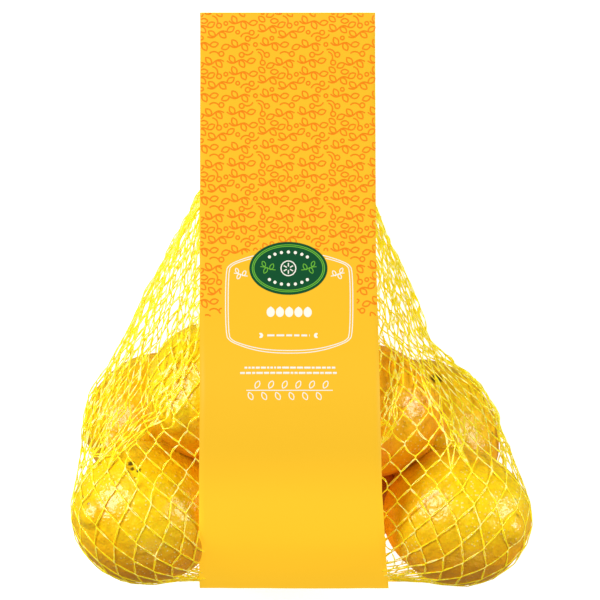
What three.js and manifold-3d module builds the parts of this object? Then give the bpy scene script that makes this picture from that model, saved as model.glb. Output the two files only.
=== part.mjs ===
// A retail net of eight lemons, lying on its back.
// Millimetres. +X is across the bag, +Y runs to the hang header, +Z is up, away from the floor.
// Three sub-parts: the knitted net tight round its fruit, and the front and back film bands that
// are welded to each other and to the net along the header and along the foot.
import * as THREE from 'three';
import { ConvexGeometry } from 'three/addons/geometries/ConvexGeometry.js';
import { mergeVertices } from 'three/addons/utils/BufferGeometryUtils.js';
import Module from 'manifold-3d';

const wasm = await Module();
wasm.setup();

// ---------------------------------------------------------------- driving dimensions
const HEADER_Y = 126.5;          // top edge of both bands
const FOOT_Y = -124.8;           // outermost point of the foot seam
const FILM = 0.5;                // thickness of a band with its weld
const GAP = 0.35;                // air kept between neighbouring sub-parts
const STRAND = 0.8;              // thickness of the net over the fruit
const BRIDGE = 2.5;              // how far the fruit stands out of the net that spans from it to a weld
const CREVICE = 19;              // how deep the hollows between neighbouring fruit go
const TENT_Y = -46;              // where the net's tent starts: the widest girth of the back fruit
const TOE_Y = -92;               // where the net leaves the foot fruit for the foot seam
const REACH = 150;               // half size of a cutting tool that passes right over the bag

const GATHER = { y: 112, x0: -10, x1: 4, z0: 1.2, z1: 4 };   // the net's mouth, under the header
const SEAM = { y: -122, left: -42, right: 37, low: 38, high: 47 };   // the net's foot
const SHOULDERS = [[61, -26.4, 45], [-71.5, -13, 45], [-64.5, 4, 42]];   // where the tent is widest
const GATHER_POINTS = 12;

// Fruit: centre, heading of the blossom end from +X towards +Y, its rise towards +Z, size.
const LEMONS = {
  leftBack: { at: [-62.8, -50.8, 32], heading: 213, rise: 48, length: 72, diameter: 56 },
  midBack: { at: [-0.7, -27.5, 29.8], heading: 15, rise: 8, length: 70, diameter: 56 },
  rightBack: { at: [57.4, -55.6, 30], heading: -52, rise: 30, length: 74, diameter: 54 },
  footBack: { at: [8.3, -84, 29.8], heading: 168, rise: 5, length: 72, diameter: 56 },
  leftMid: { at: [-36, -39, 80.5], heading: 29, rise: -50, length: 72, diameter: 59 },
  rightMid: { at: [30.4, -47.2, 78.3], heading: -10, rise: 0, length: 75, diameter: 57 },
  leftFoot: { at: [-66.7, -89.8, 77], heading: 180, rise: 45, length: 72, diameter: 60 },
  rightFoot: { at: [67.3, -92.6, 76.5], heading: -12, rise: 45, length: 74, diameter: 59 },
};

// The turned shape of every lemon, in shares of its half length and of its radius.
const BODY_REACH = 0.9;
const NIPPLE = { at: 0.8, reach: 0.2, width: 0.26 };
const NECK = { at: -0.86, reach: 0.14, width: 0.30 };
const TIP_RADIUS = 0.2;          // keeps a ring beside a pole from closing
const WHOLE_FACETS = { rings: 16, sides: 24 };
const SPAN_FACETS = { rings: 10, sides: 14 };

const PROFILE_STEPS = 60;        // along the front band's side view
const TURN_STEPS = 12;           // round the back band's turn at the foot
const WELD_RISE = 2;             // height of the front band where its header weld ends

// ---------------------------------------------------------------- solids
function toSolid(geometry) {
  geometry.deleteAttribute('normal');
  geometry.deleteAttribute('uv');
  const merged = mergeVertices(geometry, 1e-4);
  return new wasm.Manifold(new wasm.Mesh({
    numProp: 3,
    vertProperties: new Float32Array(merged.attributes.position.array),
    triVerts: new Uint32Array(merged.index.array),
  }));
}

function toGeometry(solid) {
  const mesh = solid.getMesh();
  const geometry = new THREE.BufferGeometry();
  geometry.setAttribute('position', new THREE.BufferAttribute(mesh.vertProperties, 3));
  geometry.setIndex(new THREE.BufferAttribute(mesh.triVerts, 1));
  return geometry;
}

function largest(solid) {
  return solid.decompose().reduce((a, b) => (a.volume() > b.volume() ? a : b));
}

const unite = (solids) => solids.reduce((a, b) => a.add(b));

function boxSolid([x0, x1], [y0, y1], [z0, z1]) {
  const box = new THREE.BoxGeometry(x1 - x0, y1 - y0, z1 - z0);
  return toSolid(box.translate((x0 + x1) / 2, (y0 + y1) / 2, (z0 + z1) / 2));
}

// ---------------------------------------------------------------- the fruit
// A lemon's radius at t, from -1 at the stem end to +1 at the tip of the nipple.
function lemonRadius(t, radius) {
  const dome = (u) => Math.sqrt(Math.max(0, 1 - u * u));
  const knob = ({ at, reach, width }) => width * dome((t - at) / reach);
  return radius * Math.cbrt(dome(t / BODY_REACH) ** 3 + knob(NIPPLE) ** 3 + knob(NECK) ** 3);
}

function placeLemon(geometry, { at, heading, rise }) {
  const turn = new THREE.Matrix4().makeRotationZ(THREE.MathUtils.degToRad(heading))
    .multiply(new THREE.Matrix4().makeRotationY(THREE.MathUtils.degToRad(-rise)))
    .multiply(new THREE.Matrix4().makeRotationZ(-Math.PI / 2));   // the lathe's +Y becomes +X
  return geometry.applyMatrix4(turn).translate(...at);
}

// The lathe of one lemon, grown (or shrunk) by an even allowance.
function lemonGeometry(lemon, grow, { rings, sides }) {
  const half = lemon.length / 2;
  const profile = [];
  for (let i = 0; i <= rings; i++) {
    const t = -Math.cos((Math.PI * i) / rings);
    const onAxis = i === 0 || i === rings;
    const radius = onAxis ? 0 : Math.max(TIP_RADIUS, lemonRadius(t, lemon.diameter / 2) + grow);
    profile.push(new THREE.Vector2(radius, t * (half + grow)));
  }
  return placeLemon(new THREE.LatheGeometry(profile, sides), lemon);
}

function lemonSolid(lemon) {
  return toSolid(lemonGeometry(lemon, STRAND, WHOLE_FACETS));
}

function lemonPoints(lemon, grow) {
  const position = lemonGeometry(lemon, grow, SPAN_FACETS).attributes.position;
  const point = (_, i) => new THREE.Vector3().fromBufferAttribute(position, i);
  return Array.from({ length: position.count }, point);
}

// ---------------------------------------------------------------- the net between the fruit
// The net drawn tight round some lemons, each shrunk by the inset, and some points of its own.
function span(lemons, inset, extra = []) {
  const points = lemons.flatMap((lemon) => lemonPoints(lemon, STRAND - inset));
  return toSolid(new ConvexGeometry(points.concat(extra.map((p) => new THREE.Vector3(...p)))));
}

const gatherRing = Array.from({ length: GATHER_POINTS }, (_, i) => {
  const angle = (i / GATHER_POINTS) * 2 * Math.PI;
  const { y, x0, x1, z0, z1 } = GATHER;
  const across = (x0 + x1 + (x1 - x0) * Math.cos(angle)) / 2;
  return [across, y, (z0 + z1 + (z1 - z0) * Math.sin(angle)) / 2];
});
const seamEnd = (x) => [[x, SEAM.y, SEAM.low], [x, SEAM.y, SEAM.high]];

// The tent runs from the fruit to the gather, and the toes from the foot fruit to the foot seam. In
// between the net follows the fruit into the hollows of the heap, down to its core.
function netSpans() {
  const { leftBack, midBack, rightBack, footBack, leftMid, rightMid, leftFoot, rightFoot } = LEMONS;
  const [seamLeft, seamRight] = [seamEnd(SEAM.left), seamEnd(SEAM.right)];
  const tent = span([leftBack, midBack, leftMid, rightMid], BRIDGE, [...gatherRing, ...SHOULDERS]);
  const flank = span([rightBack, midBack, rightMid], BRIDGE);
  const leftToe = span([leftFoot, footBack], BRIDGE, seamLeft);
  const rightToe = span([rightFoot, footBack], BRIDGE, seamRight);
  return [
    tent.trimByPlane([0, 1, 0], TENT_Y), flank.trimByPlane([0, 1, 0], TENT_Y),
    leftToe.trimByPlane([0, -1, 0], -TOE_Y), rightToe.trimByPlane([0, -1, 0], -TOE_Y),
    span([leftMid, rightMid, footBack], BRIDGE, [...seamLeft, ...seamRight]),
    span(Object.values(LEMONS), CREVICE),
  ];
}

// ---------------------------------------------------------------- the film bands
// The side view of a band is a curve of its inner face in (y, z), from the header to the foot.
function frontProfile() {
  const points = [
    [HEADER_Y, FILM + GAP], [120, FILM + GAP + 0.4], [111, 6.3], [60, 46], [20, 77], [-10, 100],
    [-25, 109.2], [-40, 113.4], [-58, 113], [-75, 109.4], [-90, 102.5], [-104, 90.5], [-114.5, 75.5],
    [-121, 62], [FOOT_Y + FILM, 51], [FOOT_Y + FILM, 43], [FOOT_Y + FILM, 36],
  ];
  return new THREE.SplineCurve(points.map((p) => new THREE.Vector2(...p))).getPoints(PROFILE_STEPS);
}

function backProfile() {
  const { at: [, footY, footZ] } = LEMONS.footBack;
  const wrap = footZ - FILM;                                   // radius of the turn round the foot lemon
  const points = [new THREE.Vector2(HEADER_Y, FILM)];
  for (let i = 0; i <= TURN_STEPS; i++) {
    const angle = -(Math.PI / 2) * (1 + i / TURN_STEPS);
    points.push(new THREE.Vector2(footY + wrap * Math.cos(angle), footZ + wrap * Math.sin(angle)));
  }
  const inner = FOOT_Y + 2 * FILM + GAP;                       // the back band's weld, inside the front's
  points.push(new THREE.Vector2(inner, 42), new THREE.Vector2(inner, SEAM.high + 1));
  return points;
}

// Moves a side-view curve along its normal: up for a positive distance, down for a negative one.
function offset(points, distance) {
  return points.map((p, i) => {
    const a = points[Math.max(0, i - 1)];
    const b = points[Math.min(points.length - 1, i + 1)];
    const along = new THREE.Vector2().subVectors(b, a).normalize();
    const normal = new THREE.Vector2(along.y, -along.x).multiplyScalar(distance);
    return new THREE.Vector2().addVectors(p, normal);
  });
}

// Extrudes a (y, z) outline right across the bag.
function acrossBag(outline) {
  const settings = { depth: 2 * REACH, bevelEnabled: false };
  const geometry = new THREE.ExtrudeGeometry(new THREE.Shape(outline), settings);
  const turn = new THREE.Matrix4().makeBasis(
    new THREE.Vector3(0, 1, 0), new THREE.Vector3(0, 0, 1), new THREE.Vector3(1, 0, 0));
  return toSolid(geometry.applyMatrix4(turn).translate(-REACH, 0, 0));
}

function sheet(profile, thickness) {
  return acrossBag([...profile, ...offset(profile, thickness).reverse()]);
}

// The plan of the front band: its left and right edges, as (x, y) from the header to the foot.
const BAND_LEFT = [[-44, HEADER_Y], [-42.4, -40], [-43.4, FOOT_Y]];
const BAND_RIGHT = [[33.1, HEADER_Y], [32.6, 20], [33.8, -38], [34.8, -81], [36.9, -111], [38.4, FOOT_Y]];

// That plan as an upright cutter, which runs on past the header and the foot.
function bandPlan(inset) {
  const past = 2 * FILM;
  const ends = new Map([[HEADER_Y, HEADER_Y + past], [FOOT_Y, FOOT_Y - past]]);
  const corner = (x, y) => new THREE.Vector2(x, ends.get(y) ?? y);
  const left = BAND_LEFT.map(([x, y]) => corner(x + inset, y));
  const right = BAND_RIGHT.map(([x, y]) => corner(x - inset, y));
  const settings = { depth: 2 * REACH, bevelEnabled: false };
  const geometry = new THREE.ExtrudeGeometry(new THREE.Shape([...left, ...right.reverse()]), settings);
  return toSolid(geometry.translate(0, 0, -REACH));
}

// The room inside the bands; the net keeps to it wherever it passes under them.
function bandRoom() {
  const unsealed = (p) => p.y > SEAM.high + 1 || (p.y > WELD_RISE && p.x > SEAM.y);
  const front = offset(frontProfile(), -GAP).filter(unsealed);
  const back = offset(backProfile(), GAP).map((p) => (p.x > GATHER.y ? p.setX(front[0].x) : p));
  return acrossBag([...front, ...back.reverse()]);
}

// ---------------------------------------------------------------- the sub-parts
const front = frontProfile();
const back = backProfile();

function netSolid() {
  const bag = unite([...netSpans(), ...Object.values(LEMONS).map(lemonSolid)]);
  const all = [-REACH, REACH];
  const [bandLeft, bandRight] = [BAND_LEFT[0][0] - GAP, BAND_RIGHT.at(-1)[0] + GAP];
  const bands = boxSolid([bandLeft, bandRight], all, all).subtract(bandRoom());
  const floor = boxSolid(all, all, [-REACH, 0]);
  return largest(bag.subtract(bands).subtract(floor));
}

function subPart(name, solid, color, roughness) {
  const material = new THREE.MeshStandardMaterial({ color, roughness, metalness: 0 });
  const mesh = new THREE.Mesh(toGeometry(solid), material);
  mesh.name = name;
  return mesh;
}

const group = new THREE.Group();
group.add(subPart('net_of_lemons', netSolid(), 0xf2c211, 0.45));
group.add(subPart('front_band', sheet(front, FILM).intersect(bandPlan(0)), 0xffc82d, 0.35));
group.add(subPart('back_band', sheet(back, -FILM).intersect(bandPlan(0.4)), 0xffc82d, 0.35));

export default group;
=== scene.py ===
import math

import bmesh
import bpy
import numpy as np
from mathutils import Matrix, Vector, noise
from mathutils.bvhtree import BVHTree


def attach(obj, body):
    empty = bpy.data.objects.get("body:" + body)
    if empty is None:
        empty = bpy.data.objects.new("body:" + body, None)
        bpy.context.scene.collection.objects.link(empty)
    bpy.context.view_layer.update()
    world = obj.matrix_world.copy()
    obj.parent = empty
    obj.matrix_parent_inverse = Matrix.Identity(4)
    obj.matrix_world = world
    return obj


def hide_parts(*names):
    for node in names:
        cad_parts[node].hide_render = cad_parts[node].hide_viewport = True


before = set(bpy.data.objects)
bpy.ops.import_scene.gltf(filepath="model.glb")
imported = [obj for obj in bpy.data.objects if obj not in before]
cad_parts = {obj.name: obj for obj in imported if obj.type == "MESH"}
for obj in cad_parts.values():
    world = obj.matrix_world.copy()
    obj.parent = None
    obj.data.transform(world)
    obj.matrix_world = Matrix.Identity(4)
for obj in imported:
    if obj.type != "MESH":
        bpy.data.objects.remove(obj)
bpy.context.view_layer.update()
MM = 0.001


# ---------------------------------------------------------------- the view
# The bag lies on its back and is seen from straight above, with its header at the top. A long lens
# three metres up keeps the near and the far fruit almost at one scale.
EYE_HEIGHT = 3000                 # mm above the floor
FIELD = 264                       # mm of floor across the picture
SENSOR = 36

camera_data = bpy.data.cameras.new("camera")
camera_data.sensor_width = SENSOR
camera_data.lens = SENSOR * EYE_HEIGHT / FIELD
camera_data.clip_end = 20
camera = bpy.data.objects.new("camera", camera_data)
camera.location = (0, 0, EYE_HEIGHT * MM)
bpy.context.scene.collection.objects.link(camera)
bpy.context.scene.camera = camera


# ---------------------------------------------------------------- the fruit
# Eight waxed lemons in two layers. Each grew as a turned oval with a blunt nipple at the blossom end
# and a low neck with a dry star of a calyx at the stem end, and none is quite round.
# Centre in mm, heading of the blossom end from +X towards +Y, its rise towards +Z, length, diameter,
# and the colours of the ripe side and the shaded side.
LEMONS = {
    "left_back": ((-63.8, -52, 32.6), 213, 48, 75, 56, "FFDA0A", "FFC406"),
    "mid_back": ((-0.7, -27.5, 29.8), 15, 8, 70, 56, "FFCC08", "F4AC05"),
    "right_back": ((57.4, -55.6, 30.6), -52, 30, 74, 54, "FFDE0A", "FCC006"),
    "foot_back": ((10.8, -83.5, 29.8), 168, 5, 72, 56, "F2AE04", "E29602"),
    "left_mid": ((-36, -39, 80.5), 29, -50, 72, 59, "FFE40C", "FFCA08"),
    "right_mid": ((28.8, -47.2, 78.3), -10, 0, 70, 57, "FFCC08", "FFB004"),
    "left_foot": ((-65.6, -91, 76.4), 180, 45, 74, 61, "FFE00A", "FBC006"),
    "right_foot": ((67.3, -92.6, 76.5), -12, 45, 74, 59, "FFDC08", "F8C005"),
}
# Blemishes as (lemon, x, y, radius) seen from above, in mm, and how dark they are.
MARKS = [
    ("left_foot", -72.0, -69.6, 1.5, 0.95), ("left_foot", -71.2, -71.7, 1.1, 0.9),
    ("left_foot", -73.4, -73.0, 0.8, 0.85), ("left_foot", -68.6, -72.6, 1.2, 0.9),
    ("left_foot", -70.2, -75.3, 0.6, 0.8), ("left_foot", -89.9, -86.6, 0.9, 0.6),
    ("left_back", -85.7, -62.6, 1.3, 0.8), ("left_back", -85.2, -64.6, 2.6, 0.4),
    ("right_back", 59.0, -34.0, 3.2, 0.98), ("right_back", 83.6, -58.0, 1.2, 0.8),
    ("right_foot", 90.4, -112.6, 1.3, 0.6), ("right_foot", 91.6, -85.0, 1.0, 0.5),
    ("right_foot", 92.6, -91.5, 1.1, 0.45),
]
LEMON_RINGS = 64
LEMON_SIDES = 96
LUMP = 0.5                        # mm, how far a lemon's low swellings go


def linear(hex_code):
    """An sRGB hex colour as the linear colour that a shader wants."""
    channels = [int(hex_code[i:i + 2], 16) / 255 for i in (0, 2, 4)]
    return tuple(c / 12.92 if c <= 0.04045 else ((c + 0.055) / 1.055) ** 2.4 for c in channels) + (1,)


def add_node(tree, kind, inputs=(), **settings):
    """Adds a shader node, with its settings, its input values and its links."""
    made = tree.nodes.new(kind)
    for name, value in settings.items():
        setattr(made, name, value)
    for socket, value in dict(inputs).items():
        if isinstance(value, bpy.types.NodeSocket):
            tree.links.new(value, made.inputs[socket])
        else:
            made.inputs[socket].default_value = value
    return made


def new_material(name, **values):
    """A material of one Principled shader; returns it with its tree and its shader."""
    material = bpy.data.materials.new(name)
    material.use_nodes = True
    shader = material.node_tree.nodes["Principled BSDF"]
    for socket, value in values.items():
        shader.inputs[socket.replace("_", " ")].default_value = value
    return material, material.node_tree, shader


def meshed(name, bm):
    """The mesh of a finished bmesh."""
    mesh = bpy.data.meshes.new(name)
    bm.to_mesh(mesh)
    bm.free()
    return mesh


def new_piece(name, mesh, material, slot, *nodes):
    """Puts a finished mesh in the scene as a piece that rides on the part and takes its material."""
    piece = bpy.data.objects.new(name, mesh)
    bpy.context.scene.collection.objects.link(piece)
    mesh.materials.append(material)
    mesh.polygons.foreach_set("use_smooth", [True] * len(mesh.polygons))
    if nodes:
        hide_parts(*nodes)
    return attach(piece, "root")


def cells(size):
    """The scale that gives a pattern cells or waves of a size in mm."""
    return 1 / (size * MM)


GLANDS_APART = 1.786              # mm
SPECKLE = 2.38                    # mm, the fine mottling of the skin
DENTS = 5.263                     # mm, from one shallow dent to the next
RIPE_PATCH = 23.8                 # mm, the patches where the skin is riper
TOWARDS_PAINTED_SHADE = (0.1, -0.75, -0.65)
PAINTED_SHADE_SPAN = (-20, 13)             # mm along that way from the centre, over which the painted shade deepens the skin


# Lemon rind under food wax: a satin skin over white pith, so light bleeds a little, and it is
# raised all over by oil glands two millimetres apart, each a small swelling that catches the light.
# The skin is painted a deeper orange on the side that faces the foot of the bag and the floor: painted
# shade.
def rind_material(name, centre, ripe, shaded, marks):
    material, tree, shader = new_material(
        name + "_waxed_rind", Roughness=0.38, IOR=1.45, Specular_IOR_Level=0.35,
        Subsurface_Weight=0.22, Subsurface_Radius=(1.0, 0.5, 0.06), Subsurface_Scale=2.5 * MM,
        Coat_Weight=0.55, Coat_Roughness=0.2)
    place = add_node(tree, "ShaderNodeTexCoord").outputs["Object"]
    patches = add_node(tree, "ShaderNodeTexNoise", {
        "Vector": place, "Scale": cells(RIPE_PATCH), "Detail": 4, "Roughness": 0.6})
    mottle = add_node(tree, "ShaderNodeTexNoise", {
        "Vector": place, "Scale": cells(SPECKLE), "Detail": 3, "Roughness": 0.7})
    ripeness = add_node(tree, "ShaderNodeMapRange", {
        "Value": patches.outputs["Fac"], "From Min": 0.25, "From Max": 0.7})
    skin = add_node(tree, "ShaderNodeMix", {
        "Factor": ripeness.outputs["Result"], "A": linear(shaded), "B": linear(ripe)}, data_type="RGBA")
    fleck = add_node(tree, "ShaderNodeMapRange", {
        "Value": mottle.outputs["Fac"], "From Min": 0.35, "From Max": 0.7, "To Min": 0.9, "To Max": 1.06})
    colour = add_node(tree, "ShaderNodeVectorMath", {
        0: skin.outputs["Result"], 1: fleck.outputs["Result"]}, operation="MULTIPLY").outputs["Vector"]
    # Painted shade: the skin turns a deeper orange towards the foot of the bag and the floor, where the
    # light is weaker.
    offset = add_node(tree, "ShaderNodeVectorMath", {
        0: place, 1: Vector(centre) * MM}, operation="SUBTRACT").outputs["Vector"]
    shade_reach = add_node(tree, "ShaderNodeVectorMath", {
        0: offset, 1: TOWARDS_PAINTED_SHADE}, operation="DOT_PRODUCT").outputs["Value"]
    painted_shade = add_node(tree, "ShaderNodeMapRange", {
        "Value": shade_reach, "From Min": PAINTED_SHADE_SPAN[0] * MM, "From Max": PAINTED_SHADE_SPAN[1] * MM},
        interpolation_type="SMOOTHSTEP")
    colour = add_node(tree, "ShaderNodeMix", {
        "Factor": painted_shade.outputs["Result"], "A": colour, "B": linear("EC9E08")},
        data_type="RGBA").outputs["Result"]
    glands = add_node(tree, "ShaderNodeTexVoronoi", {
        "Vector": place, "Scale": cells(GLANDS_APART), "Randomness": 0.9})
    # Painted highlights: pale dots on the glands, in some patches, stand in for the glints that the light
    # makes on them.
    painted_glint = add_node(tree, "ShaderNodeMapRange", {
        "Value": glands.outputs["Distance"], "From Min": 0.12, "From Max": 0.28,
        "To Min": 0.85, "To Max": 0})
    glint_patches = add_node(tree, "ShaderNodeMapRange", {
        "Value": patches.outputs["Fac"], "From Min": 0.48, "From Max": 0.6})
    painted_glints = add_node(tree, "ShaderNodeMath", {
        0: painted_glint.outputs["Result"], 1: glint_patches.outputs["Result"]}, operation="MULTIPLY")
    colour = add_node(tree, "ShaderNodeMix", {
        "Factor": painted_glints.outputs["Value"], "A": colour, "B": linear("FFEE9C")},
        data_type="RGBA").outputs["Result"]
    ragged = add_node(tree, "ShaderNodeVectorMath", {
        0: mottle.outputs["Color"], 1: (2.4 * MM,) * 3, 2: place}, operation="MULTIPLY_ADD")
    for spot, radius, darkness in marks:
        apart = add_node(tree, "ShaderNodeVectorMath", {
            0: ragged.outputs["Vector"], 1: spot + Vector((1.2 * MM,) * 3)}, operation="DISTANCE")
        stain = add_node(tree, "ShaderNodeMapRange", {
            "Value": apart.outputs["Value"], "From Min": 0.55 * radius * MM, "From Max": 1.15 * radius * MM,
            "To Min": darkness, "To Max": 0.0})
        colour = add_node(tree, "ShaderNodeMix", {
            "Factor": stain.outputs["Result"], "A": colour, "B": linear("4A2A08")},
            data_type="RGBA").outputs["Result"]
    tree.links.new(colour, shader.inputs["Base Color"])
    swelling = add_node(tree, "ShaderNodeMapRange", {
        "Value": glands.outputs["Distance"], "From Min": 0.05, "From Max": 0.45, "To Min": 1, "To Max": 0},
        interpolation_type="SMOOTHSTEP")
    dents = add_node(tree, "ShaderNodeTexNoise", {"Vector": place, "Scale": cells(DENTS), "Detail": 2})
    dented = add_node(tree, "ShaderNodeBump", {
        "Height": dents.outputs["Fac"], "Strength": 0.8, "Distance": 1.4 * MM})
    glandular = add_node(tree, "ShaderNodeBump", {
        "Height": swelling.outputs["Result"], "Strength": 0.45, "Distance": 0.3 * MM,
        "Normal": dented.outputs["Normal"]})
    for socket in ("Normal", "Coat Normal"):
        tree.links.new(glandular.outputs["Normal"], shader.inputs[socket])
    return material


def lemon_radius(t):
    """Radius over half the diameter, for t from -1 at the stem to 1 at the tip of the nipple."""
    dome = [math.sqrt(max(0.0, 1 - u * u)) for u in (t / 0.9, (t - 0.8) / 0.2, (t + 0.86) / 0.14)]
    return (dome[0] ** 3 + (0.26 * dome[1]) ** 3 + (0.30 * dome[2]) ** 3) ** (1 / 3)


def lemon_turn(heading, rise):
    """Turns a lemon that was made along +X to its heading and rise."""
    return Matrix.Rotation(math.radians(heading), 4, "Z") @ Matrix.Rotation(math.radians(-rise), 4, "Y")


def lemon_mesh(name, centre, heading, rise, length, diameter):
    """A lemon turned from its profile, made a little uneven, and set in its place."""
    bm = bmesh.new()
    ts = [-math.cos(math.pi * i / LEMON_RINGS) for i in range(LEMON_RINGS + 1)]
    profile = [bm.verts.new((t * length / 2, 0, lemon_radius(t) * diameter / 2)) for t in ts]
    edges = [bm.edges.new(pair) for pair in zip(profile, profile[1:])]
    bmesh.ops.spin(bm, geom=profile + edges, axis=(1, 0, 0), cent=(0, 0, 0), dvec=(0, 0, 0),
                   angle=2 * math.pi, steps=LEMON_SIDES, use_merge=True)
    bmesh.ops.remove_doubles(bm, verts=bm.verts, dist=0.01)
    bmesh.ops.recalc_face_normals(bm, faces=bm.faces)
    bm.normal_update()
    seed = Vector(centre)
    for v in bm.verts:
        t = v.co.x / (length / 2)
        around = math.atan2(v.co.y, v.co.z)
        low = noise.noise(v.co * 0.035 + seed) * 1.6 + noise.noise(v.co * 0.09 - seed) * 0.5
        shoulder = math.exp(-((t - 0.72) / 0.16) ** 2) + 0.7 * math.exp(-((t + 0.8) / 0.12) ** 2)
        ribs = noise.noise(Vector((math.cos(around), math.sin(around), 0.3 * t)) * 2.2 + seed)
        v.co += v.normal * LUMP * (low + 1.1 * shoulder * ribs)
    bmesh.ops.transform(bm, matrix=Matrix.Translation(centre) @ lemon_turn(heading, rise), verts=bm.verts)
    bmesh.ops.scale(bm, vec=(MM, MM, MM), verts=bm.verts)
    return meshed(name, bm)


def mesh_tree(meshes):
    """One tree for ray casts and nearest points over several meshes."""
    bases = np.cumsum([0] + [len(mesh.vertices) for mesh in meshes[:-1]]).tolist()
    return BVHTree.FromPolygons(
        [v.co.copy() for mesh in meshes for v in mesh.vertices],
        [tuple(v + base for v in p.vertices) for mesh, base in zip(meshes, bases) for p in mesh.polygons])


fruit = {}
for name, (centre, heading, rise, length, diameter, ripe, shaded) in LEMONS.items():
    mesh = lemon_mesh("lemon_" + name, centre, heading, rise, length, diameter)
    own_tree = mesh_tree([mesh])
    marks = []
    for lemon, x, y, radius, darkness in MARKS:
        hit = own_tree.ray_cast(Vector((x, y, 200)) * MM, Vector((0, 0, -1)))[0]
        if lemon == name and hit is not None:
            marks.append((hit, radius, darkness))
    material = rind_material(name, centre, ripe, shaded, marks)
    fruit[name] = new_piece("lemon_" + name, mesh, material, "lemon_rind", "net_of_lemons")


# ---------------------------------------------------------------- the bands' run
# Both bands are strips of printed film, welded to each other across the header and the foot. Their
# side view is a curve in (y, z): the front one climbs over the heap, the back one lies on the floor.
HEADER_Y = 126.5
FOOT_Y = -124.8
FILM = 0.5                        # mm, the thickness that the solid bands have
FRONT_RUN = [(HEADER_Y, 0.85), (120, 1.25), (111, 6.3), (60, 46), (20, 77), (-10, 100), (-25, 109.2),
             (-40, 113.4), (-58, 113), (-75, 109.4), (-90, 102.5), (-104, 90.5), (-114.5, 75.5),
             (-121, 62), (-124.3, 51), (-124.3, 43), (-124.3, 36)]
FOOT_LEMON = (-84, 29.8)          # the turn of the back band, round the lemon at the foot
TURN = 29.3                       # mm, its radius
BACK_RUN = [(HEADER_Y, FILM)] + [
    (FOOT_LEMON[0] + TURN * math.cos(a), FOOT_LEMON[1] + TURN * math.sin(a))
    for a in [-math.pi / 2 - math.pi * i / 24 for i in range(13)]] + [(-123.45, 42), (-123.45, 48)]


def distance_along(path):
    """How far along a path each of its points is."""
    return np.concatenate([[0], np.cumsum(np.linalg.norm(np.diff(path, axis=0), axis=1))])


def smooth_run(points, steps):
    """Points evenly spaced along a Catmull-Rom curve through the given ones."""
    p = np.array([points[0]] + points + [points[-1]], float)
    dense = []
    for a, b, c, d in zip(p, p[1:], p[2:], p[3:]):
        for u in np.linspace(0, 1, 12, endpoint=False):
            dense.append(0.5 * (2 * b + (c - a) * u + (2 * a - 5 * b + 4 * c - d) * u ** 2
                                + (3 * b - a - 3 * c + d) * u ** 3))
    dense = np.array(dense + [p[-1]])
    at = distance_along(dense)
    even = np.linspace(0, at[-1], steps + 1)
    return np.stack([np.interp(even, at, dense[:, i]) for i in (0, 1)], 1)


front_run = smooth_run(FRONT_RUN, 300)
front_height = front_run[::-1][front_run[::-1, 0] > FOOT_Y + 2]


# ---------------------------------------------------------------- the net
# A tube of knitted polyethylene yarn, 52 diamonds round, with legs of 8.8 mm. It is drawn together
# under the header, spans from fruit to fruit, and ends flat in the foot weld.
COLUMNS = 52
LEG = 8.8
GATHER = {"y": 112, "x": -3, "half": 7, "z": 2.6}
SEAM = {"y": -122.0, "x": -2.5, "half": 38.5, "z": 43}
SHOULDERS = [(61, -26.4, 45), (-71.5, -13, 45), (-64.5, 4, 42)]    # where the tent is widest
RELAX_STEPS = 420
YARN_GAP = 0.7                    # mm, from a knot's middle to the rind
FILM_GAP = 0.8                    # mm, from a knot's middle to a band
rng = np.random.default_rng(7)
noise.seed_set(1)                 # or each run would set the net askew in its own way


def seam_point(angle):
    return np.array([SEAM["x"] + SEAM["half"] * math.asin(math.cos(angle)) * 2 / math.pi, SEAM["y"],
                     SEAM["z"] + 2.5 * math.sin(angle)])


def gather_point(angle):
    return np.array([GATHER["x"] + GATHER["half"] * math.asin(math.cos(angle)) * 2 / math.pi, GATHER["y"],
                     GATHER["z"] + 1.1 * math.sin(angle)])


def tight_hull(names, extra):
    """The surface that a net drawn tight round some of the fruit takes."""
    bm = bmesh.new()
    for name in names:
        for v in fruit[name].data.vertices:
            bm.verts.new(v.co)
    for point in extra:
        bm.verts.new(Vector(point) * MM)
    bmesh.ops.convex_hull(bm, input=bm.verts)
    tree = BVHTree.FromBMesh(bm)
    bm.free()
    return tree


half_turns = np.linspace(0, 2 * math.pi, 12, endpoint=False)
seam_ends = {side: [(SEAM["x"] + side * SEAM["half"], SEAM["y"], z) for z in (38, 47)] for side in (-1, 1)}
hulls = [
    tight_hull(["left_back", "mid_back", "left_mid", "right_mid"],
               [gather_point(angle) for angle in half_turns] + SHOULDERS),
    tight_hull(["left_back", "left_mid", "left_foot", "mid_back", "foot_back"], seam_ends[-1]),
    tight_hull(["right_back", "right_mid", "right_foot", "mid_back", "foot_back"], seam_ends[1]),
    tight_hull(["left_mid", "right_mid", "foot_back"], seam_ends[-1] + seam_ends[1]),
]


def outermost(centre, direction):
    """The outermost point of the hulls in a direction from a point inside them, in mm."""
    far = centre + 240 * direction
    hits = [tree.ray_cast(Vector(far * MM), Vector(-direction)) for tree in hulls]
    hits = [(hit[3], hit[0]) for hit in hits if hit[0] is not None]
    return np.array(min(hits, key=lambda hit: hit[0])[1]) / MM if hits else centre


SIDES = 180                       # rays round a section
GIRTH_Y = -72                     # the section whose girth the columns share evenly
ray_angles = np.linspace(-math.pi / 2, 1.5 * math.pi, SIDES + 1)     # from straight down, by the right
SPINE = np.array([(-3, 104, 4.5), (-1, -72, 52), (-2.5, -113, 52)], float)   # inside the heap
TUCK = 7                          # rings from the last section to the foot weld


def section(y):
    """Where a plane across the bag cuts the hulls, from under the bag round by the right."""
    centre = np.array([np.interp(-y, -SPINE[:, 1], SPINE[:, axis]) for axis in range(3)])
    return np.array([outermost(centre, np.array([math.cos(a), 0, math.sin(a)])) for a in ray_angles])


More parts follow.
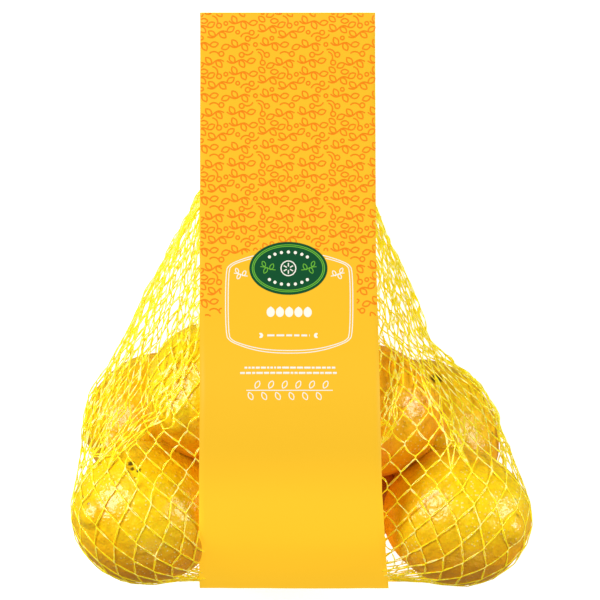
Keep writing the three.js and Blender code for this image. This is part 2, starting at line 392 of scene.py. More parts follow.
def addresses(ring):
    """Addresses round a ring: 0 is under the bag, 1 its right edge, 2 on top, 3 left, 4 back under."""
    corners = [0, int(ring[:, 0].argmax()), SIDES // 2, int(ring[:, 0].argmin()), SIDES]
    step = np.diff(ring, axis=0)
    run = np.concatenate([[0], np.cumsum(np.linalg.norm(step, axis=1) + np.abs(step[:, 0]))])
    return np.interp(run, run[corners], range(5))


def net_at_rest():
    """Knots drawn tight over the hulls, in rows as far apart as the legs reach at that girth."""
    gather, seam = [np.array([point(a) for a in ray_angles]) for point in (gather_point, seam_point)]
    outlines = [gather] + [section(y) for y in np.linspace(SPINE[0, 1], SPINE[-1, 1], 64)]
    outlines += [outlines[-1] + (seam - outlines[-1]) * i / TUCK for i in range(1, TUCK + 1)]
    widest = section(GIRTH_Y)
    at = distance_along(widest)
    columns = np.interp(np.arange(2 * COLUMNS) / (2 * COLUMNS) * at[-1], at, addresses(widest))
    rings = np.array([[np.interp(columns, addresses(outline), outline[:, axis]) for axis in range(3)]
                      for outline in outlines]).transpose(0, 2, 1)
    step = np.linalg.norm(np.diff(rings, axis=0), axis=2).mean(1)
    girth = np.linalg.norm(rings - np.roll(rings, 1, 1), axis=2).sum(1)
    half_width = (girth[1:] + girth[:-1]) / 4 / COLUMNS
    rise = np.sqrt(np.maximum(LEG ** 2 - half_width ** 2, (0.6 * LEG) ** 2))
    at = np.concatenate([[0], np.cumsum(step / rise)])
    rows = 2 * round(at[-1] / 2)
    places = np.interp(np.arange(rows + 1) / rows * at[-1], at, np.arange(len(at)))
    knots = np.zeros((rows + 1, COLUMNS, 3))
    for i, place in enumerate(places):
        k = min(int(place), len(rings) - 2)
        ring = rings[k] + (rings[k + 1] - rings[k]) * (place - k)
        knots[i] = ring[i % 2::2]
    return knots


# Folds where the slack net was pushed together when the bag was filled: the ends of the fold seen
# from above, how far it draws from, and how much.
FOLDS = [
    ((-73, -68), (-43, -34), 10, 0.6), ((-88, -52), (-62, -10), 6, 0.4),
    ((68, -64), (56, -36), 8, 0.45), ((92, -60), (72, -26), 5, 0.4),
]


def fold(knots):
    """Draws the upper layer of the net in towards its folds, where it holds, and sets all of it
    a little askew."""
    moved = knots.copy()
    hold = np.where(knots[:, :, 1] > -20, 0.04, 0.012)
    for row in moved:
        middle, half = (row[:, 0].max() + row[:, 0].min()) / 2, (row[:, 0].max() - row[:, 0].min()) / 2
        for knot in row:
            inner = min(1.0, (1.02 - abs(knot[0] - middle) / half) / 0.25)
            loose = 0.12 + 0.88 * inner * min(1.0, max(0.0, (knot[1] + 75) / 60))
            at = Vector(knot * 0.045)
            knot += np.array(noise.noise_vector(at)) * 7.0 * loose
            knot += np.array(noise.noise_vector(at * 3.1)) * 4.0 * loose
    upper = knots[:, :, 2] > 24
    for start, end, reach, share in FOLDS:
        start, along = np.array(start), np.array(end) - np.array(start)
        offset = moved[:, :, :2] - start
        u = np.clip(offset @ along / (along @ along), 0, 1)
        away = offset - u[..., None] * along
        near = np.exp(-((away ** 2).sum(-1)) / (2 * reach ** 2)) * upper
        moved[:, :, :2] -= away * (share * near)[..., None]
        hold = np.maximum(hold, 0.08 * share * near)
    moved[0], moved[-1] = knots[0], knots[-1]
    return moved, hold


lemon_centres = np.array([row[0] for row in LEMONS.values()], float)
lemon_axes = np.array([(lemon_turn(row[1], row[2]) @ Vector((1, 0, 0)))[:] for row in LEMONS.values()])
profile_t = np.linspace(-1, 1, 401)
profile_r = np.array([lemon_radius(t) for t in profile_t])
profile_slope = np.gradient(profile_r, profile_t)


def push_off_fruit(points, gap):
    """How far each point has to move to lie the gap outside every lemon."""
    push = np.zeros_like(points)
    for centre, axis, row in zip(lemon_centres, lemon_axes, LEMONS.values()):
        half, radius = row[3] / 2, row[4] / 2
        near = np.nonzero(((points - centre) ** 2).sum(1) < (half + 8) ** 2)[0]
        offset = points[near] - centre
        along = offset @ axis
        radial = offset - along[:, None] * axis
        out = np.linalg.norm(radial, axis=1) + 1e-9
        t = np.clip(along / half, -1, 1)
        slope = np.clip(np.interp(t, profile_t, profile_slope) * radius / half, -1.5, 1.5)
        flat = 1 / np.sqrt(1 + slope ** 2)
        depth = gap - (out - np.interp(t, profile_t, profile_r) * radius) * flat
        normal = (radial / out[:, None] - slope[:, None] * axis) * flat[:, None]
        past = np.abs(along) > half
        depth[past] = gap - np.sqrt((np.abs(along) - half) ** 2 + out ** 2)[past]
        normal[past] = (offset / np.linalg.norm(offset, axis=1)[:, None])[past]
        push[near] += normal * np.maximum(depth, 0)[:, None]
    return push


def push_under_bands(points, gap):
    """How far each point has to move to lie between the two bands and above the floor."""
    push = np.zeros_like(points)
    x, y, z = points.T
    under = (x > -43.5) & (x < 35) & (y > FOOT_Y + 3)
    roof = np.interp(y, front_height[:, 0], front_height[:, 1]) - gap
    high = under & (z > roof) & (z > 0)
    push[high, 2] = (roof - z)[high]
    base = np.where(under, FILM + gap, gap)
    low = z < base
    push[low, 2] = (base - z)[low]
    turn_y, turn_z, inside = y - FOOT_LEMON[0], z - FOOT_LEMON[1], TURN - gap
    foot = (x > -44) & (x < 39) & (z < 42) & (turn_y < 0)
    reach = np.hypot(turn_y, turn_z) + 1e-9
    past = foot & (turn_z < 0) & (reach > inside)
    shrink = inside / reach - 1
    push[past, 1], push[past, 2] = (turn_y * shrink)[past], (turn_z * shrink)[past]
    wall = -inside - 0.83 * turn_z
    past = foot & (turn_z >= 0) & (turn_y < wall)
    push[past, 1] = (wall - turn_y)[past]
    return push


def relax(knots, hold):
    """Lets the net settle: no leg longer than its yarn, none through a lemon, a band or the floor."""
    index = np.arange(len(knots) * COLUMNS).reshape(-1, COLUMNS)
    starts, ends = [], []
    for i in range(len(knots) - 1):
        starts += [index[i], index[i]]
        ends += [index[i + 1], np.roll(index[i + 1], 1 if i % 2 == 0 else -1)]
    starts, ends = np.concatenate(starts), np.concatenate(ends)
    yarn = LEG * (1 + 0.04 * rng.standard_normal(len(starts)))
    home = knots.reshape(-1, 3)
    points = home.copy()
    free = np.ones((len(points), 1))
    free[:COLUMNS] = free[-COLUMNS:] = 0
    count = np.bincount(np.concatenate([starts, ends]), minlength=len(points))[:, None]
    for _ in range(RELAX_STEPS):
        span = points[ends] - points[starts]
        length = np.linalg.norm(span, axis=1) + 1e-9
        excess = np.where(length > yarn, length - yarn, np.minimum(length - 0.55 * yarn, 0) * 0.3)
        pull = span / length[:, None] * excess[:, None]
        move = np.zeros_like(points)
        np.add.at(move, starts, pull)
        np.add.at(move, ends, -pull)
        points += (move / count * 1.1 + (home - points) * hold.reshape(-1, 1)) * free
        points += push_off_fruit(points, YARN_GAP) * free
        points += push_under_bands(points, FILM_GAP) * free
    return points.reshape(knots.shape)


knots = relax(*fold(net_at_rest()))

# Pleats: where the slack net doubles over itself, as (x, y, width) down the middle of each, and how
# many columns of the net each takes up.
PLEATS = [
    ([(-41, 66, 4), (-46, 5, 10), (-50, -25, 12), (-62, -48, 13), (-82, -68, 3)], 5),
    ([(-42, 58, 4), (-62, 5, 10), (-80, -28, 11), (-94, -64, 3)], 4),
    ([(-41, 62, 4), (-54, 20, 10), (-66, -14, 12), (-78, -44, 12), (-90, -74, 3)], 5),
    ([(33, 62, 4), (42, 5, 9), (50, -28, 11), (62, -52, 10), (69, -68, 8)], 4),
    ([(34, 54, 4), (52, 5, 9), (68, -22, 11), (84, -44, 11), (95, -70, 5)], 5),
    ([(32, 36, 4), (38, -12, 8), (41, -34, 8), (35, -58, 6)], 3),
]


PLEAT_RISE = 1.5                  # mm, from the net to the pleat on it
PLEAT_STEP = 7.4                  # mm, from one row of its knots to the next


def pleat(path, columns, surface):
    """The knots of a pleat, laid a little over the net and joined to it at the foot."""
    path = np.array(path, float)
    along = distance_along(path[:, :2])
    rows = round(along[-1] / PLEAT_STEP)
    at = np.linspace(0, along[-1], rows + 1)
    x, y, width = (np.interp(at, along, path[:, axis]) for axis in range(3))
    ways = np.stack([np.gradient(x), np.gradient(y)], 1)
    ways /= np.linalg.norm(ways, axis=1)[:, None]
    made = np.zeros((rows + 1, columns, 3))
    for i in range(rows + 1):
        for j in range(columns):
            share = (j + 0.5 * (i % 2) + 0.25) / columns - 0.5
            spot = np.array([x[i] + ways[i, 1] * width[i] * share, y[i] - ways[i, 0] * width[i] * share])
            spot += rng.normal(0, 0.6, 2)
            hit, normal = surface.ray_cast(Vector((spot[0], spot[1], 200)), Vector((0, 0, -1)))[:2]
            if hit is None:
                hit, normal = surface.find_nearest(Vector((spot[0], spot[1], 40)))[:2]
            made[i, j] = hit + normal * (PLEAT_RISE if normal.z > 0 else -PLEAT_RISE)
    flat = made.reshape(-1, 3)
    made = (flat + push_under_bands(flat, FILM_GAP)).reshape(made.shape)
    stitches = knots.reshape(-1, 3).copy()
    for knot in made[-1]:
        nearest = ((stitches - knot) ** 2).sum(1).argmin()
        knot[:] = stitches[nearest]
        stitches[nearest] = 1000
    return made


# Yarn: two slit filaments that twist round each other between the stitches and run side by side
# through each stitch, where two legs share it.
FILAMENT = 0.185                  # mm, radius
STITCH = 0.5                      # mm, half the length of a stitch
SAG = 0.15                        # how much of its slack a leg shows as a bow to one side
GLINT_STRETCH = 3.333                      # mm, from one painted highlight along the yarn to the next


def unit(v):
    return v / (np.linalg.norm(v, axis=-1, keepdims=True) + 1e-9)


def as_net(knots, wraps):
    """Knots with the way down and the way out at each, and whether the columns close on themselves."""
    down = unit(np.gradient(knots, axis=0))
    around = np.roll(knots, -1, 1) - np.roll(knots, 1, 1) if wraps else np.gradient(knots, axis=1)
    return knots, down, unit(np.cross(unit(around), down)), wraps


def yarn_path(net, start, side):
    """The middle line of one zigzag yarn with its outward direction, five points to a leg."""
    knots, down, outward, wraps = net
    back = (start - 1) % COLUMNS if wraps else max(start - 1, 0)
    line, out = [], []
    for i in range(len(knots) - 1):
        j = start if i % 2 == 0 or side > 0 else back
        k = start if i % 2 == 1 or side > 0 else back
        a, b = knots[i, j], knots[i + 1, k]
        leg = b - a
        length = np.linalg.norm(leg)
        slack = max(0.0, LEG ** 2 - length ** 2) ** 0.5 * SAG
        sideways = unit(np.cross(outward[i, j], leg)) * rng.normal(0, 1) * slack
        first, last = a + down[i, j] * STITCH, b - down[i + 1, k] * STITCH
        for u, bow in ((0, 0), (0.25, 0.75), (0.5, 1), (0.75, 0.75), (1, 0)):
            line.append(first + (last - first) * u + sideways * bow)
            out.append(outward[i, j] * (1 - u) + outward[i + 1, k] * u)
    return np.array(line), unit(np.array(out))


def filament_paths(line, out, phase):
    """The two filaments of a yarn, which twist between the stitches."""
    tangent = unit(np.gradient(line, axis=0))
    beside = unit(np.cross(tangent, out))
    steps = np.arange(len(line))
    turn = phase + steps * 2 * math.pi / 7.5
    spread = 0.15 + 0.17 * np.sin(steps % 5 / 4 * math.pi)
    shift = (np.cos(turn) * spread)[:, None] * beside + (np.sin(turn) * spread * 0.5)[:, None] * out
    return line + shift, line - shift


def add_spline(curve, points):
    spline = curve.splines.new("POLY")
    spline.points.add(len(points) - 1)
    spline.points.foreach_set("co", np.column_stack([points, np.ones(len(points))]).ravel())


def tube_mesh(name, radius, paths, caps=True):
    """Thin four-sided rods along paths, as one mesh."""
    curve = bpy.data.curves.new(name, "CURVE")
    curve.dimensions = "3D"
    curve.bevel_depth = radius
    curve.bevel_resolution = 0
    curve.use_fill_caps = caps
    for path in paths:
        add_spline(curve, path)
    holder = bpy.data.objects.new(name, curve)
    bpy.context.scene.collection.objects.link(holder)
    mesh = bpy.data.meshes.new_from_object(holder.evaluated_get(bpy.context.evaluated_depsgraph_get()))
    bpy.data.objects.remove(holder)
    return mesh


fruit_tree = mesh_tree([piece.data for piece in fruit.values()])


def rest_on_rind(points):
    """Lifts the points of a filament that dip into a lemon until it lies on the rind."""
    for point in points:
        place, normal = fruit_tree.find_nearest(Vector(point * MM), 6 * MM)[:2]
        if place is None:
            continue
        height = (Vector(point * MM) - place).dot(normal) / MM
        if height < FILAMENT * 1.1:
            point += np.array(normal) * (FILAMENT * 1.1 - height)
    return points


def yarns_of(net, starts):
    """Both zigzags that start from each of some columns."""
    return [(net, start, side) for start in starts for side in (1, -1)]


def net_piece(name, yarns, material):
    """Knits one part of the net from its yarns."""
    paths = []
    for net, start, side in yarns:
        line, out = yarn_path(net, start, side)
        twist = rng.uniform(0, 2 * math.pi)
        paths += [rest_on_rind(path) * MM for path in filament_paths(line, out, twist)]
    return new_piece(name, tube_mesh(name, FILAMENT * MM, paths), material, "net_yarn", "net_of_lemons")


# Polyethylene yarn, drawn and knitted: waxy and slightly see-through, with a painted glow that stands in
# for light passing through it, and painted highlights: stretches painted almost white at random along it.
yarn_material, yarn_tree, yarn_shader = new_material(
    "knitted_pe_yarn", Roughness=0.22, IOR=1.53, Coat_Weight=0.5, Coat_Roughness=0.1,
    Subsurface_Weight=0.3, Subsurface_Radius=(1, 0.9, 0.3), Subsurface_Scale=0.6 * MM,
    Emission_Color=linear("FFEE2A"), Emission_Strength=0.2)
strand_place = add_node(yarn_tree, "ShaderNodeTexCoord").outputs["Object"]
# Painted highlights: random stretches of the yarn are painted almost white.
strand_glint_noise = add_node(yarn_tree, "ShaderNodeTexNoise", {
    "Vector": strand_place, "Scale": cells(GLINT_STRETCH), "Detail": 2})
strand_painted_glint = add_node(yarn_tree, "ShaderNodeMapRange", {
    "Value": strand_glint_noise.outputs["Fac"], "From Min": 0.5, "From Max": 0.66})
strand_tone_with_glints = add_node(yarn_tree, "ShaderNodeMix", {
    "Factor": strand_painted_glint.outputs["Result"], "A": linear("FBEC22"), "B": linear("FFFFB4")},
    data_type="RGBA")
yarn_tree.links.new(strand_tone_with_glints.outputs["Result"], yarn_shader.inputs["Base Color"])

net = as_net(knots, True)
third = COLUMNS // 3 + 1
for number, first in enumerate(range(0, COLUMNS, third)):
    starts = range(first, min(first + third, COLUMNS))
    net_piece(f"net_{number + 1}", yarns_of(net, starts), yarn_material)

grid = np.arange(knots.shape[0] * COLUMNS).reshape(-1, COLUMNS)
beside = np.roll(grid, -1, 1)
corners = np.stack([grid[:-1], grid[1:], beside[1:], beside[:-1]], -1).reshape(-1, 4)
net_surface = BVHTree.FromPolygons([Vector(v) for v in knots.reshape(-1, 3)], corners.tolist())
doubled = []
for path, columns in PLEATS:
    doubled += yarns_of(as_net(pleat(path, columns, net_surface), False), range(columns))
net_piece("net_pleats", doubled, yarn_material)


# ---------------------------------------------------------------- the film bands
# Strips of polypropylene film, printed flat yellow. The front one is cut a little wider at the foot.
FILM_GAUGE = 0.12                 # mm
BACK_LIFT = -0.1                  # mm, from the run to the back film, which clears the floor
ACROSS = 28                       # faces across a film
FRONT_EDGES = ([(HEADER_Y, -44), (-40, -42.4), (FOOT_Y, -43.4)],
               [(HEADER_Y, 33.1), (20, 32.6), (-38, 33.8), (-81, 34.8), (-111, 36.9), (FOOT_Y, 38.4)])


def edge_at(edge, y):
    """Where a film's edge is at y."""
    ys, xs = zip(*edge[::-1])
    return np.interp(y, ys, xs)


def run_normals(run):
    """The outward direction at each point of a run."""
    tangent = unit(np.gradient(run, axis=0))
    return np.stack([tangent[:, 1], -tangent[:, 0]], 1)


def ripple(x, y):
    """Film's own slight waviness, in mm."""
    wide = noise.noise(Vector((x * 0.03, y * 0.02, 1.7)))
    fine = noise.noise(Vector((x * 0.09, y * 0.05, 4)))
    return 0.25 * wide + 0.08 * fine


def band_piece(name, run, node, material, lift, inset=0.0):
    """A film band on its run, with the lift in mm along the run's normal."""
    steps = len(run) - 1
    normals = run_normals(run)
    bm = bmesh.new()
    bmesh.ops.create_grid(bm, x_segments=ACROSS, y_segments=steps, size=1)
    for v in bm.verts:
        i = round((v.co.y + 1) / 2 * steps)
        share = (v.co.x + 1) / 2
        y, z = run[i]
        left, right = edge_at(FRONT_EDGES[0], y) + inset, edge_at(FRONT_EDGES[1], y) - inset
        x = left + (right - left) * share
        rise = lift + ripple(x, y)
        v.co = Vector((x, y + normals[i, 0] * rise, z + normals[i, 1] * rise)) * MM
    bmesh.ops.recalc_face_normals(bm, faces=bm.faces)
    piece = new_piece(name, meshed(name, bm), material, "band_film", node)
    thickness = piece.modifiers.new("film thickness", "SOLIDIFY")
    thickness.thickness = FILM_GAUGE * MM
    thickness.offset = 0
    return piece


# Cast polypropylene film, reverse printed: a smooth satin face with hardly any texture, with a painted glow
# that stands in for light from behind. Its base colour is painted lighter where it turns down to the foot,
# away from the lamps: painted light that evens out its shade.
film_material, film_tree, film_shader = new_material(
    "printed_pp_film", Base_Color=linear("C4981F"), Roughness=0.5, IOR=1.45, Specular_IOR_Level=0.15,
    Emission_Color=linear("FFC82D"), Emission_Strength=0.7)
film_place = add_node(film_tree, "ShaderNodeTexCoord").outputs["Object"]
film_down = add_node(film_tree, "ShaderNodeSeparateXYZ", {"Vector": film_place}).outputs["Y"]
# Painted light: the base colour lightens towards the foot, where the film turns away from the lamps.
film_painted_light = add_node(film_tree, "ShaderNodeMapRange", {
    "Value": film_down, "From Min": -60 * MM, "From Max": -112 * MM}, interpolation_type="SMOOTHSTEP")
film_tone_with_painted_light = add_node(film_tree, "ShaderNodeMix", {
    "Factor": film_painted_light.outputs["Result"], "A": linear("8B6A15"), "B": linear("DAA923")}, data_type="RGBA")
film_tree.links.new(film_tone_with_painted_light.outputs["Result"], film_shader.inputs["Base Color"])
back_run = smooth_run(BACK_RUN, 240)
band_piece("front_film", front_run, "front_band", film_material, FILM / 2)
band_piece("back_film", back_run, "back_band", film_material, BACK_LIFT, inset=0.4)


# ---------------------------------------------------------------- the header's pattern
# Orange gravure ink on the films round the header: a repeat of scattered vines, tendrils, leaves and
# rings, drawn in fine lines that run off the films' edges and keep clear of the plaque.
INK_LINE = 0.62                   # mm
INK_STEP = 0.6                    # mm, from point to point along a line
INK_TONE = 0.28                   # how much of its colour ink shows by reflection; the rest is a painted glow
INK_RISE = 0.05                   # mm, each layer of ink over the one below
REPEAT = np.array((31.0, 22.6))   # mm
APART = 1.0                       # mm, the least gap between two motifs of the pattern
PATTERN_FOOT = -7.5               # mm, how far down the view the pattern goes
PATTERN_LEFT = -43.9
PATTERN_TOP = 126.3
PATTERN_RIGHT = [(126.5, 33.1), (20, 33.4), (-60, 35.0)]     # (v, u) down the film's right edge
BACK_PATTERN = {"left": -43.4, "right": 32.8, "top": 126.2}
PLAQUE = {"u": -4.75, "half": 28.0, "wall": (-17.2, 14.5), "bow": 6.4, "margin": 1.6}
BOW_POWER = 2.4                   # how square the plaque's bowed ends are

front_normals = run_normals(front_run)
front_view = front_run[:, 0] * EYE_HEIGHT / (EYE_HEIGHT - front_run[:, 1])
seen = int(front_view.argmin())


def on_front(u, v, rise):
    """A point on the front film that the view shows at (u, v), in mm, with its rise above the film."""
    at = np.interp(-v, -front_view[:seen], np.arange(seen))
    steps = np.arange(len(front_run))
    y, z = (np.interp(at, steps, front_run[:, axis]) for axis in (0, 1))
    ny, nz = (np.interp(at, steps, front_normals[:, axis]) for axis in (0, 1))
    x = u * (EYE_HEIGHT - z) / EYE_HEIGHT
    lift = rise + FILM / 2 + FILM_GAUGE / 2 + np.array([ripple(a, b) for a, b in zip(x, y)])
    return np.stack([x, y + ny * lift, z + nz * lift], 1)


def on_back(u, v, rise):
    """The same for the back film, which shows its print to the floor."""
    sag = np.array([ripple(a, b) for a, b in zip(u, v)])
    return np.stack([u, v, FILM + BACK_LIFT - FILM_GAUGE / 2 + sag - rise], 1)


def laid(mesh, place, rise):
    """Lays a drawing, in the view's mm, on a film, pressed to a tenth of its thickness."""
    flat = np.empty(3 * len(mesh.vertices))
    mesh.vertices.foreach_get("co", flat)
    u, v, w = flat.reshape(-1, 3).T
    mesh.vertices.foreach_set("co", (place(u, v, rise + w * 0.1) * MM).ravel())
    mesh.update()
    return mesh


def line_mesh(name, paths, width):
    """Lines of ink, as a mesh in the view's mm."""
    level = [np.column_stack([path, np.zeros(len(path))]) for path in paths]
    return tube_mesh(name, width / 2, level, caps=False)


def arc(centre, radius, start=0.0, end=360.0, squash=1.0, points=15):
    """Points along an arc of a circle or an ellipse."""
    angles = np.radians(np.linspace(start, end, points))
    return np.array(centre) + radius * np.stack([np.cos(angles), squash * np.sin(angles)], 1)


def turned(path, angle):
    """A path turned about the origin by degrees."""
    c, d = math.cos(math.radians(angle)), math.sin(math.radians(angle))
    return path @ np.array([[c, d], [-d, c]])


def leaf(base, heading, length, width):
    """The outline of a pointed leaf from its base."""
    t = np.linspace(0, 1, 8)
    side = width / 2 * np.sin(math.pi * t) ** 0.8
    edge = np.stack([t * length, side], 1)
    return np.array(base) + turned(np.concatenate([edge, edge[::-1] * (1, -1)]), heading)


def vine():
    """A waved stem with a leaf at each side and one at its end."""
    t = np.linspace(-1, 1, 13)
    stem = np.stack([4.5 * t, 0.95 * np.sin(math.pi * t)], 1)
    return [stem, leaf((-1.1, -0.65), 126, 3.8, 2.3), leaf((1.1, 0.65), -54, 3.8, 2.3),
            leaf((4.5, 0), 22, 3.8, 2.3)]


def tendril():
    """A berry on a curved stalk."""
    return [arc((0, 0), 1.1), arc((3.6, 0.45), 2.6, 190, 300, points=9)]


def lone_leaf():
    return [leaf((-1.8, 0), 0, 3.6, 2.2)]


def ring():
    return [arc((0, 0), 0.85)]


def densed(path):
    """The same path with more points, so that it can follow the film."""
    at = distance_along(path)
    even = np.linspace(0, at[-1], max(2, math.ceil(at[-1] / INK_STEP) + 1))
    return np.stack([np.interp(even, at, path[:, axis]) for axis in (0, 1)], 1)


def clipped(path, keep):
    """The stretches of a path that lie where the ink is kept."""
    inside = keep(path[:, 0], path[:, 1])
    cuts = np.nonzero(np.diff(inside.astype(int)))[0] + 1
    return [part for part in np.split(path, cuts) if len(part) > 1 and keep(*part[:1].T)[0]]


def plaque_top(u, grow):
    """The plaque's upper edge at u, grown by a margin."""
    share = np.clip(np.abs(u - PLAQUE["u"]) / (PLAQUE["half"] + grow), 0, 1)
    return PLAQUE["wall"][1] + PLAQUE["bow"] * (1 - share ** BOW_POWER) + grow


def in_pattern(u, v):
    """Where the front film has its pattern: round the header and down both sides of the plaque."""
    top = plaque_top(u, PLAQUE["margin"])
    beside = np.abs(u - PLAQUE["u"]) > PLAQUE["half"] + PLAQUE["margin"]
    across = (u > PATTERN_LEFT) & (u < edge_at(PATTERN_RIGHT, v))
    return across & (v > PATTERN_FOOT) & (v < PATTERN_TOP) & (beside | (v > top))


def in_back_pattern(u, v):
    across = (u > BACK_PATTERN["left"]) & (u < BACK_PATTERN["right"])
    return across & (v > PATTERN_FOOT) & (v < BACK_PATTERN["top"])


# What grows in the pattern, how often each is tried, and how far it may lean.
MOTIFS = [(vine, 900, 22), (tendril, 900, 60), (lone_leaf, 700, 180), (ring, 400, 0)]


def one_repeat():
    """Scatters the motifs over one repeat so that none touches another, across its edges too."""
    placed, taken = [], np.full((1, 2), -1000.0)
    for motif, tries, tilt in MOTIFS:
        for _ in range(tries):
            angle = ink_rng.uniform(-tilt, tilt) + 180 * ink_rng.integers(2)
            corner = ink_rng.uniform((0, 0), REPEAT)
            paths = [densed(turned(path, angle)) + corner for path in motif()]
            points = np.concatenate(paths)
            gap = points[:, None] - taken
            gap -= REPEAT * np.round(gap / REPEAT)
            if (gap ** 2).sum(-1).min() > APART ** 2:
                placed += paths
                taken = np.concatenate([taken, points])
    return placed


def pattern_paths(keep):
    """The repeat, stepped over the film and cut off where the ink isn't kept."""
    return [part for column in range(-3, 3) for row in range(-2, 7)
            for path in repeat for part in clipped(path + (column, row) * REPEAT, keep)]


# Gravure ink on film: flat and satin, with a painted glow like the film's that stands in for light from
# behind.
def ink_material(name, colour):
    tone = linear(colour)
    return new_material(
        name, Base_Color=tuple(INK_TONE * c for c in tone[:3]) + (1,), Roughness=0.5,
        Specular_IOR_Level=0.15, Emission_Color=tone, Emission_Strength=0.7)[0]


ink_rng = np.random.default_rng(1)
repeat = one_repeat()
orange_ink = ink_material("orange_gravure_ink", "FF8C16")
for name, keep, place, node in (("front_pattern", in_pattern, on_front, "front_band"),
                                ("back_pattern", in_back_pattern, on_back, "back_band")):
    mesh = laid(line_mesh(name, pattern_paths(keep), INK_LINE), place, INK_RISE)
    new_piece(name, mesh, orange_ink, "band_film", node)


# ---------------------------------------------------------------- the plaque and the badge
# White ink for a plaque with a double keyline and, in place of words, rows of small fruit, leaves
# and dashes. Over its top edge sits a dark green oval badge with a citrus wheel between two sprigs.
KEYLINE = 0.42                    # mm
BADGE_LINE = 0.4
WHEEL_LINE = 0.5
RULE = 0.95                       # mm, the thickness of a dash
KEYLINES_APART = 1.15
BADGE = {"u": -5.1, "v": 13.7, "half_width": 17.2, "half_height": 11.7}
BADGE_RIMS = (-1.3, -2.0)         # mm past its edge, so within it
SPRIGS = {"from_middle": 21.3, "v": 11.0, "size": 0.72}
TITLE = {"from": -12.9, "to": 3.4, "v": -5.6, "height": 5.0, "fruit": 5}
TAGLINE = {"from": -14.4, "to": 4.3, "v": -15.8}
TAG_LEAVES = [(-16.2, 150), (-16.2, 210), (6.1, 30), (6.1, -30)]      # (u, heading)
FINE_PRINT = [(-24.4, 15.5, -29.9), (-26.3, 16.2, -32.2)]              # from, to, height
GARLAND = {"from": -23.6, "to": 14.4, "v": -39.8, "step": 3.0}


def wheel(radius):
    """A cut citrus fruit: its rind and six walls."""
    spokes = [np.array([[math.cos(a), math.sin(a)]]) * np.array([[0.25], [0.72]]) * radius
              for a in np.radians(range(30, 390, 60))]
    return [arc((0, 0), radius)] + spokes


def sprig():
    """A stem with three leaves."""
    t = np.linspace(-1, 1, 9)
    stem = np.stack([4.2 * t, 0.9 * np.sin(1.7 * t)], 1)
    leaves = [leaf((-1.2, -0.8), 118, 3.7, 2.0), leaf((0.4, 0.5), -62, 3.7, 2.0),
              leaf((1.6, 0.9), 66, 3.4, 1.9)]
    return [stem] + leaves


def plaque_outline(inset):
    """The plaque's rounded outline, which bows at its top and its foot."""
    half, (low, high) = PLAQUE["half"] - inset, PLAQUE["wall"]
    t = np.linspace(-0.93, 0.93, 15)
    bow = (PLAQUE["bow"] - inset) * (1 - np.abs(t) ** BOW_POWER)
    top = np.stack([half * t, high + bow], 1)
    foot = np.stack([half * t, low - bow], 1)
    right_wall = np.array([[half, high - 1.6], [half, low + 1.6]])
    left_wall = right_wall[::-1] * (-1, 1)
    path = np.concatenate([top, right_wall, foot[::-1], left_wall, top[:1]])
    for _ in range(2):            # rounds the corners
        near, far = path[:-1] * 0.75 + path[1:] * 0.25, path[:-1] * 0.25 + path[1:] * 0.75
        path = np.stack([near, far], 1).reshape(-1, 2)
        path = np.concatenate([path, path[:1]])
    return path + (PLAQUE["u"], 0)


def oval(grow):
    """The badge's outline, grown."""
    return arc((BADGE["u"], BADGE["v"]), BADGE["half_width"] + grow, points=73,
               squash=(BADGE["half_height"] + grow) / (BADGE["half_width"] + grow))


def outside_badge(u, v):
    across, up = (u - BADGE["u"]) / BADGE["half_width"], (v - BADGE["v"]) / BADGE["half_height"]
    return across ** 2 + up ** 2 > 1


def filled_mesh(name, outlines):
    """Small solid shapes of ink from their outlines."""
    bm = bmesh.new()
    for outline in outlines:
        rim = bmesh.ops.create_circle(bm, cap_ends=True, segments=len(outline), radius=1)["verts"]
        for vert, point in zip(rim, outline):
            vert.co = (point[0], point[1], 0)
    bmesh.ops.recalc_face_normals(bm, faces=bm.faces)
    for face in bm.faces:
        if face.normal.z < 0:
            face.normal_flip()
    return meshed(name, bm)


def small_lemon(centre, height):
    """An upright lemon's outline with its nipple on top."""
    a = np.radians(np.arange(0, 360, 15))
    bulge = 1 + 0.16 * np.exp(-((a - math.pi / 2) / 0.25) ** 2)
    return np.array(centre) + height / 2 * np.stack([0.72 * np.cos(a), 0.86 * np.sin(a) * bulge], 1)


def scaled(paths, factor, centre, mirror=1):
    """Paths drawn larger or smaller about a centre, and mirrored for the right-hand one of a pair."""
    return [path * (factor * mirror, factor) + centre for path in paths]


def dashes(u0, u1, v, shortest, longest, gap):
    """A broken rule in place of a line of small words."""
    made, u = [], u0
    while u < u1:
        end = min(u + rng.uniform(shortest, longest), u1)
        made.append(np.array([[u, v], [end, v]]))
        u = end + gap
    return made


def ink_piece(name, mesh, ink, layer):
    """A piece of ink on the front film, so many layers above it."""
    return new_piece(name, laid(mesh, on_front, layer * INK_RISE), ink, "band_film", "front_band")


white_ink = ink_material("white_gravure_ink", "FFFBF0")
green_ink = ink_material("green_gravure_ink", "0D5230")
light_green_ink = ink_material("light_green_gravure_ink", "6EBE3C")

lines = []
for inset in (0, KEYLINES_APART):
    lines += clipped(densed(plaque_outline(inset)), outside_badge)
for mirror in (-1, 1):
    centre = (PLAQUE["u"] + SPRIGS["from_middle"] * mirror, SPRIGS["v"])
    lines += [densed(path) for path in scaled(sprig(), SPRIGS["size"], centre, mirror)]
for number, u in enumerate(np.arange(GARLAND["from"] + 1, GARLAND["to"] - 1, GARLAND["step"])):
    side = 1 if number % 2 else -1
    lines.append(densed(leaf((u, GARLAND["v"] + 0.9 * side), 62 * side, 3.7, 2.0)))
lines.append(densed(np.array([[GARLAND[end], GARLAND["v"]] for end in ("from", "to")])))
ink_piece("white_lines", line_mesh("white_lines", lines, KEYLINE), white_ink, 1)

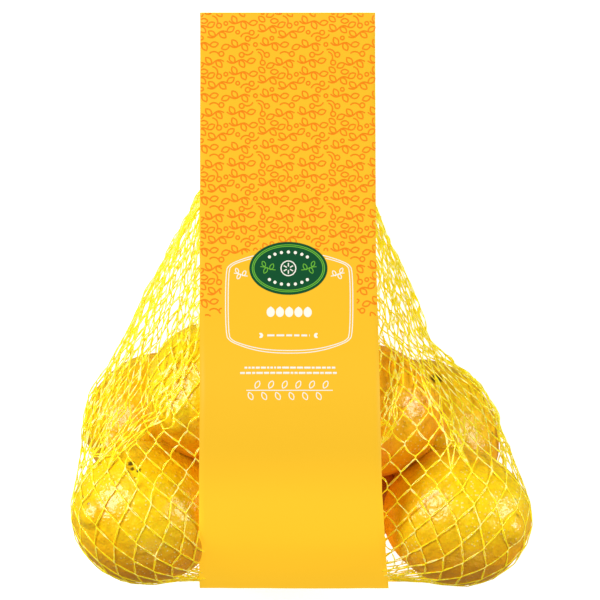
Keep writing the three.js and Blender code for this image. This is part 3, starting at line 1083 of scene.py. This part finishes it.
rules = []
for start, end, height in FINE_PRINT:
    rules += dashes(start, end, height, 0.8, 3.0, 0.5)
rules += dashes(TAGLINE["from"], TAGLINE["to"], TAGLINE["v"], 1.4, 3.6, 0.9)
ink_piece("white_rules", line_mesh("white_rules", [densed(path) for path in rules], RULE), white_ink, 1)

shapes = [small_lemon((u, TITLE["v"]), TITLE["height"])
          for u in np.linspace(TITLE["from"], TITLE["to"], TITLE["fruit"])]
shapes += [leaf((u, TAGLINE["v"]), heading, 2.0, 1.1)[:-1] for u, heading in TAG_LEAVES]
ink_piece("white_fruit", filled_mesh("white_fruit", shapes), white_ink, 1)

bm = bmesh.new()
bmesh.ops.create_grid(bm, x_segments=30, y_segments=22, size=1)
for v in bm.verts:                # a square grid drawn out to an oval
    a, b = v.co.x, v.co.y
    v.co = Vector((BADGE["u"] + BADGE["half_width"] * a * math.sqrt(1 - b * b / 2),
                   BADGE["v"] + BADGE["half_height"] * b * math.sqrt(1 - a * a / 2), 0))
ink_piece("badge", meshed("badge", bm), green_ink, 2)

badge_lines = [oval(rim) for rim in BADGE_RIMS]
for mirror in (-1, 1):
    centre = (BADGE["u"] + 9.0 * mirror, BADGE["v"])
    badge_lines += [densed(path) for path in scaled(sprig(), 0.8, centre, mirror)]
ink_piece("badge_lines", line_mesh("badge_lines", badge_lines, BADGE_LINE), light_green_ink, 3)
badge_wheel = [densed(path) for path in scaled(wheel(2.2), 1.5, (BADGE["u"], BADGE["v"]))]
ink_piece("badge_wheel", line_mesh("badge_wheel", badge_wheel, WHEEL_LINE), white_ink, 3)
beads = []
for middle in (90, 270):
    for a in np.radians(np.linspace(middle - 46, middle + 46, 7)):
        spot = (BADGE["u"] + 11.6 * math.cos(a), BADGE["v"] + 7.2 * math.sin(a))
        beads.append(arc(spot, 0.72, points=11)[:-1])
ink_piece("badge_beads", filled_mesh("badge_beads", beads), white_ink, 3)


# ---------------------------------------------------------------- the floor, the light and the end
# A white sweep under a bright sky, with a soft window at each side.
bm = bmesh.new()
bmesh.ops.create_grid(bm, x_segments=1, y_segments=1, size=3)
floor = bpy.data.objects.new("floor", meshed("floor", bm))
bpy.context.scene.collection.objects.link(floor)
floor_material, _, _ = new_material(
    "white_paper", Base_Color=(0.85, 0.85, 0.85, 1), Roughness=0.95, Emission_Color=(1, 1, 1, 1),
    Emission_Strength=0.72)
floor.data.materials.append(floor_material)
floor.visible_diffuse = floor.visible_glossy = False     # no bounce, so the fruit's undersides stay deep

world = bpy.data.worlds.new("world")
bpy.context.scene.world = world
world.use_nodes = True
world.node_tree.nodes["Background"].inputs["Color"].default_value = (1, 0.87, 0.4, 1)
world.node_tree.nodes["Background"].inputs["Strength"].default_value = 0.26


def softbox(name, place, size, power, colour=(1, 1, 1)):
    light = bpy.data.lights.new(name, "AREA")
    light.color = colour
    light.shape = "RECTANGLE"
    light.size, light.size_y = size
    light.energy = power
    holder = bpy.data.objects.new(name, light)
    holder.location = place
    aim = Vector((0, -0.05, 0.05)) - Vector(place)
    holder.rotation_euler = aim.to_track_quat("-Z", "Y").to_euler()
    bpy.context.scene.collection.objects.link(holder)


softbox("left_window", (-0.72, 0.32, 0.7), (0.5, 0.6), 11.0)
softbox("right_window", (0.9, 0.1, 0.42), (0.42, 0.55), 7.0)
softbox("foot_fill", (0.1, -0.9, 0.5), (0.6, 0.3), 1.0, (1, 0.75, 0.4))

bpy.context.scene.view_settings.view_transform = "Standard"
